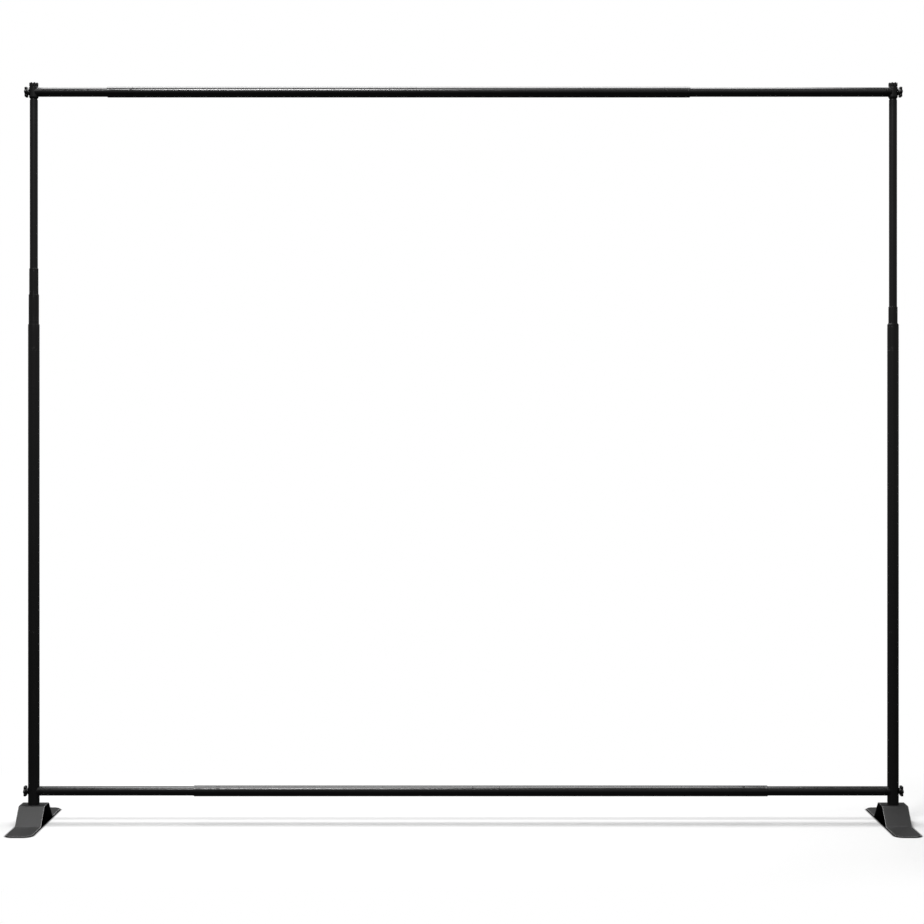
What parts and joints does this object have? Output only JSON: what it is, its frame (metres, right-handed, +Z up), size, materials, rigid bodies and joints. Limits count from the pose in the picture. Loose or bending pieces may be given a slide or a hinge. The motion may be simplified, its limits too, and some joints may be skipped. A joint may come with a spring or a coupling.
{
  "type": "telescopic banner frame stand",
  "caption": "Free-standing rectangular banner frame: telescopic posts on bent plate feet, telescopic crossbars above and below, twist grips and star knobs.",
  "frame": {"origin": "on the floor, half way between the two post axes, in the plane of the posts", "axes": "+X along the crossbars from the left post to the right post, +Y along the feet towards the back, +Z up the posts"},
  "size_m": [3.14, 0.45, 2.6235],
  "materials": {
    "black_tube": "satin black powder coat on aluminium tube",
    "foot_steel": "fine-textured dark grey powder coat on steel plate",
    "cast_alloy": "satin black coated casting",
    "black_plastic": "moulded black plastic",
    "guide_plastic": "grey acetal bush",
    "zinc_steel": "zinc-plated steel"
  },
  "bodies": {
    "left_base": {"left_foot": "foot_steel", "left_foot_bolt": "zinc_steel", "left_base_plug": "guide_plastic", "left_lower_tube": "black_tube", "left_main_tube": "black_tube", "bottom_left_saddle": "cast_alloy", "bottom_left_thin_tube": "black_tube", "bottom_left_guide": "guide_plastic"},
    "right_base": {"right_foot": "foot_steel", "right_foot_bolt": "zinc_steel", "right_base_plug": "guide_plastic", "right_lower_tube": "black_tube", "right_main_tube": "black_tube", "bottom_right_saddle": "cast_alloy", "bottom_right_thin_tube": "black_tube", "bottom_right_guide": "guide_plastic"},
    "left_top_section": {"left_top_tube": "black_tube", "left_top_guide": "guide_plastic", "left_top_fitting": "black_plastic", "top_left_saddle": "cast_alloy", "top_left_thin_tube": "black_tube", "top_left_guide": "guide_plastic"},
    "right_top_section": {"right_top_tube": "black_tube", "right_top_guide": "guide_plastic", "right_top_fitting": "black_plastic"},
    "top_right_end": {"top_right_saddle": "cast_alloy", "top_right_thin_tube": "black_tube", "top_right_guide": "guide_plastic"},
    "top_middle": {"top_left_thick_tube": "black_tube", "top_coupler": "black_tube", "top_right_thick_tube": "black_tube"},
    "top_left_knob_turn": {"top_left_knob": "black_plastic", "top_left_knob_screw": "zinc_steel"},
    "top_left_grip_turn": {"top_left_grip": "black_plastic"},
    "top_right_knob_turn": {"top_right_knob": "black_plastic", "top_right_knob_screw": "zinc_steel"},
    "top_right_grip_turn": {"top_right_grip": "black_plastic"},
    "bottom_middle": {"bottom_left_thick_tube": "black_tube", "bottom_coupler": "black_tube", "bottom_right_thick_tube": "black_tube"},
    "bottom_left_knob_turn": {"bottom_left_knob": "black_plastic", "bottom_left_knob_screw": "zinc_steel"},
    "bottom_left_grip_turn": {"bottom_left_grip": "black_plastic"},
    "bottom_right_knob_turn": {"bottom_right_knob": "black_plastic", "bottom_right_knob_screw": "zinc_steel"},
    "bottom_right_grip_turn": {"bottom_right_grip": "black_plastic"},
    "left_second_section": {"left_second_tube": "black_tube", "left_second_guide": "guide_plastic"},
    "left_third_section": {"left_third_tube": "black_tube", "left_third_guide": "guide_plastic"},
    "left_main_grip_turn": {"left_main_grip": "black_plastic"},
    "left_second_grip_turn": {"left_second_grip": "black_plastic"},
    "left_third_grip_turn": {"left_third_grip": "black_plastic"},
    "right_second_section": {"right_second_tube": "black_tube", "right_second_guide": "guide_plastic"},
    "right_third_section": {"right_third_tube": "black_tube", "right_third_guide": "guide_plastic"},
    "right_main_grip_turn": {"right_main_grip": "black_plastic"},
    "right_second_grip_turn": {"right_second_grip": "black_plastic"},
    "right_third_grip_turn": {"right_third_grip": "black_plastic"}
  },
  "joints": [
    {"name": "left_second_slide", "type": "slide", "parent": "left_base", "child": "left_second_section", "axis": [0, 0, 1], "range_m": [-0.002, 0.77422]},
    {"name": "left_third_slide", "type": "slide", "parent": "left_second_section", "child": "left_third_section", "axis": [0, 0, 1], "range_m": [-0.058, 0.74822]},
    {"name": "left_top_slide", "type": "slide", "parent": "left_third_section", "child": "left_top_section", "axis": [0, 0, 1], "range_m": [-0.57478, 0.08844]},
    {"name": "right_second_slide", "type": "slide", "parent": "right_base", "child": "right_second_section", "axis": [0, 0, 1], "range_m": [-0.002, 0.87722]},
    {"name": "right_third_slide", "type": "slide", "parent": "right_second_section", "child": "right_third_section", "axis": [0, 0, 1], "range_m": [-0.058, 0.78122]},
    {"name": "right_top_slide", "type": "slide", "parent": "right_third_section", "child": "right_top_section", "axis": [0, 0, 1], "range_m": [-0.71078, 0.08844]},
    {"name": "bottom_middle_slide", "type": "slide", "parent": "left_base", "child": "bottom_middle", "axis": [1, 0, 0], "range_m": [-0.23, 0.222]},
    {"name": "right_base_slide", "type": "slide", "parent": "bottom_middle", "child": "right_base", "axis": [1, 0, 0], "range_m": [-0.414, 0.07]},
    {"name": "top_middle_slide", "type": "slide", "parent": "left_top_section", "child": "top_middle", "axis": [1, 0, 0], "range_m": [-0.23, 0.529]},
    {"name": "top_right_slide", "type": "slide", "parent": "top_middle", "child": "top_right_end", "axis": [1, 0, 0], "range_m": [-0.689, 0.07]},
    {"name": "left_main_grip_twist", "type": "hinge", "parent": "left_base", "child": "left_main_grip_turn", "pos_m": [-1.524, 0, 1.72122], "axis": [0, 0, 1], "range_deg": [0, 90]},
    {"name": "left_second_grip_twist", "type": "hinge", "parent": "left_second_section", "child": "left_second_grip_turn", "pos_m": [-1.524, 0, 1.82722], "axis": [0, 0, 1], "range_deg": [0, 90]},
    {"name": "left_third_grip_twist", "type": "hinge", "parent": "left_third_section", "child": "left_third_grip_turn", "pos_m": [-1.524, 0, 1.91922], "axis": [0, 0, 1], "range_deg": [0, 90]},
    {"name": "right_main_grip_twist", "type": "hinge", "parent": "right_base", "child": "right_main_grip_turn", "pos_m": [1.524, 0, 1.72122], "axis": [0, 0, 1], "range_deg": [0, 90]},
    {"name": "right_second_grip_twist", "type": "hinge", "parent": "right_second_section", "child": "right_second_grip_turn", "pos_m": [1.524, 0, 1.72422], "axis": [0, 0, 1], "range_deg": [0, 90]},
    {"name": "right_third_grip_twist", "type": "hinge", "parent": "right_third_section", "child": "right_third_grip_turn", "pos_m": [1.524, 0, 1.78322], "axis": [0, 0, 1], "range_deg": [0, 90]},
    {"name": "top_left_grip_twist", "type": "hinge", "parent": "top_middle", "child": "top_left_grip_turn", "pos_m": [-1.217, 0, 2.591], "axis": [-1, 0, 0], "range_deg": [0, 90]},
    {"name": "top_left_knob_spin", "type": "hinge", "parent": "left_top_section", "child": "top_left_knob_turn", "pos_m": [-1.549, 0, 2.591], "axis": [-1, 0, 0], "continuous": true},
    {"name": "top_right_grip_twist", "type": "hinge", "parent": "top_middle", "child": "top_right_grip_turn", "pos_m": [0.758, 0, 2.591], "axis": [1, 0, 0], "range_deg": [0, 90]},
    {"name": "top_right_knob_spin", "type": "hinge", "parent": "right_top_section", "child": "top_right_knob_turn", "pos_m": [1.549, 0, 2.591], "axis": [1, 0, 0], "continuous": true},
    {"name": "bottom_left_grip_twist", "type": "hinge", "parent": "bottom_middle", "child": "bottom_left_grip_turn", "pos_m": [-0.91, 0, 0.112], "axis": [-1, 0, 0], "range_deg": [0, 90]},
    {"name": "bottom_left_knob_spin", "type": "hinge", "parent": "left_base", "child": "bottom_left_knob_turn", "pos_m": [-1.549, 0, 0.112], "axis": [-1, 0, 0], "continuous": true},
    {"name": "bottom_right_grip_twist", "type": "hinge", "parent": "bottom_middle", "child": "bottom_right_grip_turn", "pos_m": [1.033, 0, 0.112], "axis": [1, 0, 0], "range_deg": [0, 90]},
    {"name": "bottom_right_knob_spin", "type": "hinge", "parent": "right_base", "child": "bottom_right_knob_turn", "pos_m": [1.549, 0, 0.112], "axis": [1, 0, 0], "continuous": true}
  ],
  "couplings": [
    {"joint": "right_second_slide", "follows": "left_second_slide", "ratio": 1},
    {"joint": "right_third_slide", "follows": "left_third_slide", "ratio": 1},
    {"joint": "right_top_slide", "follows": "left_top_slide", "ratio": 1},
    {"joint": "top_middle_slide", "follows": "bottom_middle_slide", "ratio": 1},
    {"joint": "top_right_slide", "follows": "right_base_slide", "ratio": 1}
  ]
}
